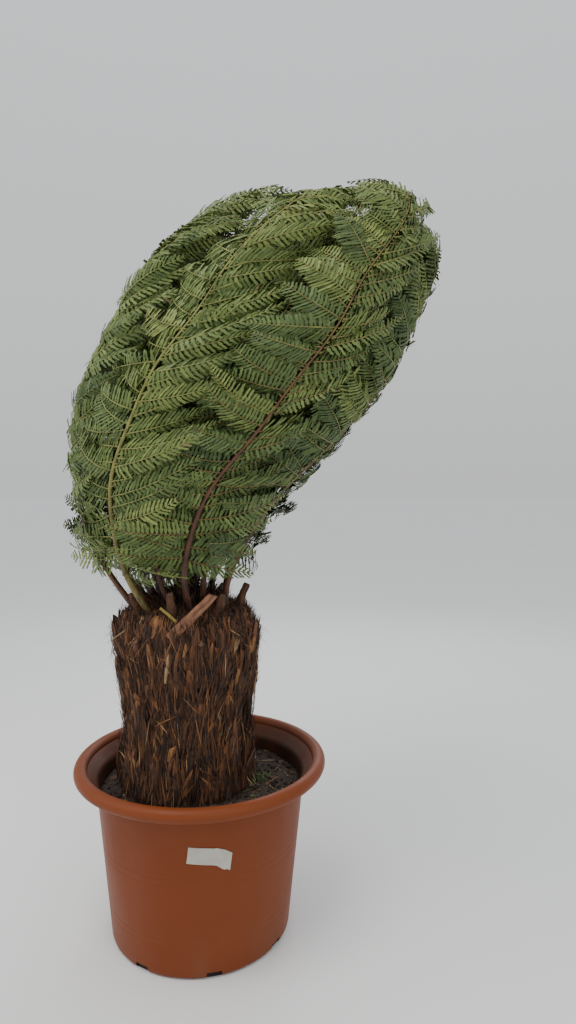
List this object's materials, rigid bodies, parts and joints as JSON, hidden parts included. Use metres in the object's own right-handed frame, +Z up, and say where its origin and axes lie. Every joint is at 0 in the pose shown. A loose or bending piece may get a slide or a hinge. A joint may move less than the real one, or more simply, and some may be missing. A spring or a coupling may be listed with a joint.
{
  "type": "potted tree fern",
  "caption": "Tree fern with a fibrous trunk and a crown of upswept fronds gathered together, leaning to one side, in a round terracotta-coloured plastic pot.",
  "frame": {"origin": "centre of the pot's flat underside, at mount foot", "axes": "+Z up along the pot's axis; +X is the side the crown leans to; -Y is the plant's front"},
  "size_m": [0.8661, 0.5963, 1.7],
  "materials": {
    "pot_plastic": "satin",
    "potting_soil": "matte",
    "trunk_fibre": "matte",
    "frond_green": "matte"
  },
  "bodies": {
    "root": {"frond_inner_1": "frond_green", "frond_inner_2": "frond_green", "frond_inner_3": "frond_green", "frond_inner_4": "frond_green", "frond_inner_5": "frond_green", "frond_middle_1_lower": "frond_green", "frond_middle_1_upper": "frond_green", "frond_middle_2_lower": "frond_green", "frond_middle_2_upper": "frond_green", "frond_middle_3_lower": "frond_green", "frond_middle_3_upper": "frond_green", "frond_middle_4_lower": "frond_green", "frond_middle_4_upper": "frond_green", "frond_middle_5_lower": "frond_green", "frond_middle_5_upper": "frond_green", "frond_middle_6_lower": "frond_green", "frond_middle_6_upper": "frond_green", "frond_outer_1_lower": "frond_green", "frond_outer_1_upper": "frond_green", "frond_outer_2_lower": "frond_green", "frond_outer_2_upper": "frond_green", "frond_outer_3_lower": "frond_green", "frond_outer_3_upper": "frond_green", "frond_outer_4_lower": "frond_green", "frond_outer_4_upper": "frond_green", "frond_outer_5_lower": "frond_green", "frond_outer_5_upper": "frond_green", "frond_outer_6_lower": "frond_green", "frond_outer_6_upper": "frond_green", "frond_outer_7_lower": "frond_green", "frond_outer_7_upper": "frond_green", "pot": "pot_plastic", "soil": "potting_soil", "trunk": "trunk_fibre"}
  },
  "joints": []
}
